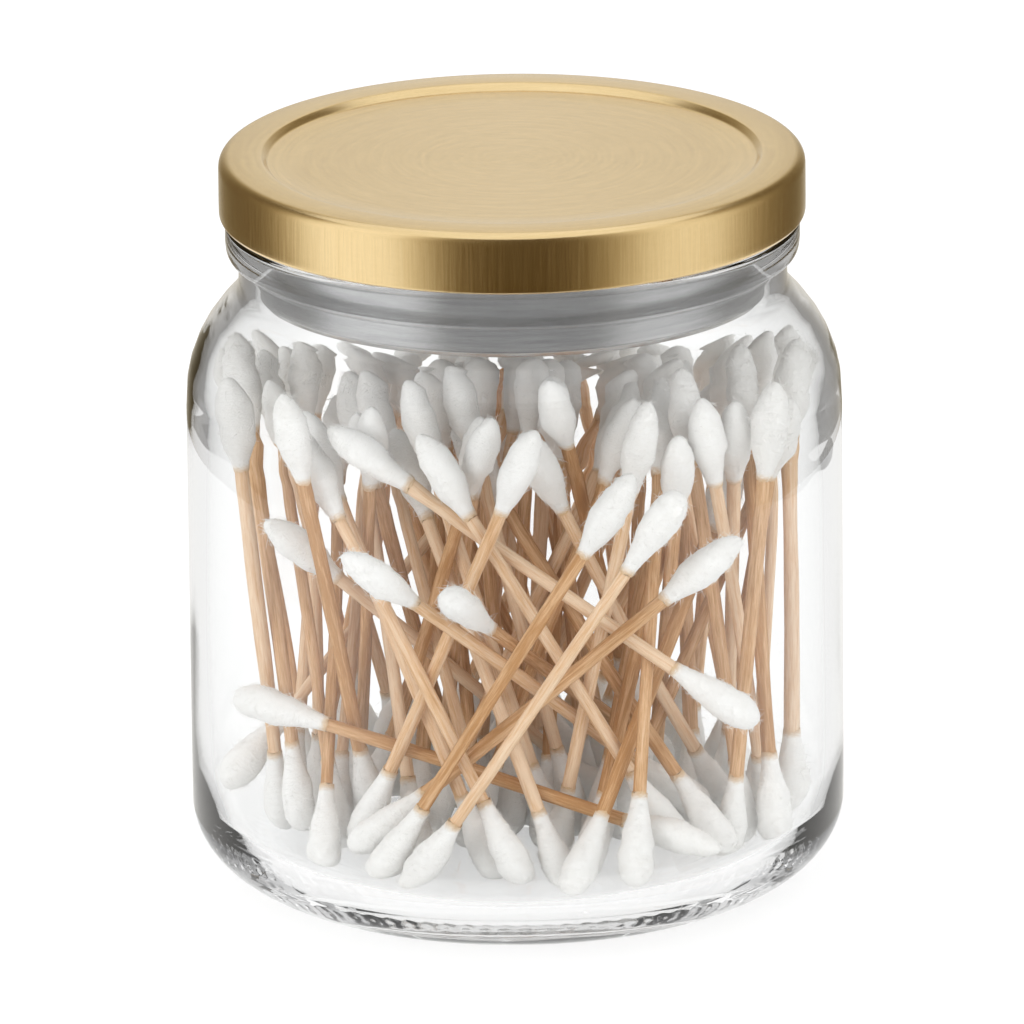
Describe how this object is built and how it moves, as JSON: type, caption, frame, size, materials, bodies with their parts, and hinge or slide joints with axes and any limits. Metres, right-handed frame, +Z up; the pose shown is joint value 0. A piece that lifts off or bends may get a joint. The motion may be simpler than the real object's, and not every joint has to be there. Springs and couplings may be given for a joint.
{
  "type": "glass jar",
  "caption": "Round clear glass jar with a rounded heel and shoulder and a push-on gold metal lid, filled with two-ended wooden cotton swabs.",
  "frame": {"origin": "middle of the base, on the surface the jar stands on", "axes": "+Z up along the jar's axis, +X to the right and -Y towards the viewer, as the picture shows it"},
  "size_m": [0.0964, 0.0964, 0.1107],
  "materials": {
    "clear_glass": "clear blown glass, smooth, with a stippled ring under the foot",
    "gold_lid": "gold-coloured metal, spun brushing on the panel and fine upright brushing on the skirt",
    "grey_plug": "satin grey moulded plastic",
    "clear_seal": "soft translucent ring",
    "birch_stick": "bare pale wood with fine lengthwise grain",
    "white_cotton": "wound cotton, slightly fuzzy"
  },
  "bodies": {
    "jar": {"filling_swabs_cotton": "white_cotton", "filling_swabs_stick": "birch_stick", "glass_jar": "clear_glass", "swab_01_cotton": "white_cotton", "swab_01_stick": "birch_stick", "swab_02_cotton": "white_cotton", "swab_02_stick": "birch_stick", "swab_03_cotton": "white_cotton", "swab_03_stick": "birch_stick", "swab_04_cotton": "white_cotton", "swab_04_stick": "birch_stick", "swab_05_cotton": "white_cotton", "swab_05_stick": "birch_stick", "swab_06_cotton": "white_cotton", "swab_06_stick": "birch_stick", "swab_07_cotton": "white_cotton", "swab_07_stick": "birch_stick", "swab_08_cotton": "white_cotton", "swab_08_stick": "birch_stick", "swab_09_cotton": "white_cotton", "swab_09_stick": "birch_stick", "swab_10_cotton": "white_cotton", "swab_10_stick": "birch_stick", "swab_11_cotton": "white_cotton", "swab_11_stick": "birch_stick", "swab_12_cotton": "white_cotton", "swab_12_stick": "birch_stick", "swab_13_cotton": "white_cotton", "swab_13_stick": "birch_stick", "swab_14_cotton": "white_cotton", "swab_14_stick": "birch_stick", "swab_15_cotton": "white_cotton", "swab_15_stick": "birch_stick", "swab_16_cotton": "white_cotton", "swab_16_stick": "birch_stick", "swab_17_cotton": "white_cotton", "swab_17_stick": "birch_stick", "swab_18_cotton": "white_cotton", "swab_18_stick": "birch_stick", "swab_19_cotton": "white_cotton", "swab_19_stick": "birch_stick", "swab_20_cotton": "white_cotton", "swab_20_stick": "birch_stick", "swab_21_cotton": "white_cotton", "swab_21_stick": "birch_stick", "swab_22_cotton": "white_cotton", "swab_22_stick": "birch_stick", "swab_23_cotton": "white_cotton", "swab_23_stick": "birch_stick", "swab_24_cotton": "white_cotton", "swab_24_stick": "birch_stick", "swab_25_cotton": "white_cotton", "swab_25_stick": "birch_stick", "swab_26_cotton": "white_cotton", "swab_26_stick": "birch_stick", "swab_27_cotton": "white_cotton", "swab_27_stick": "birch_stick"},
    "lid": {"lid_shell": "gold_lid", "lid_plug": "grey_plug", "seal_ring": "clear_seal"}
  },
  "joints": [
    {"name": "lid_lift", "type": "slide", "parent": "jar", "child": "lid", "axis": [0, 0, 1], "range_m": [0, 0.04]}
  ]
}
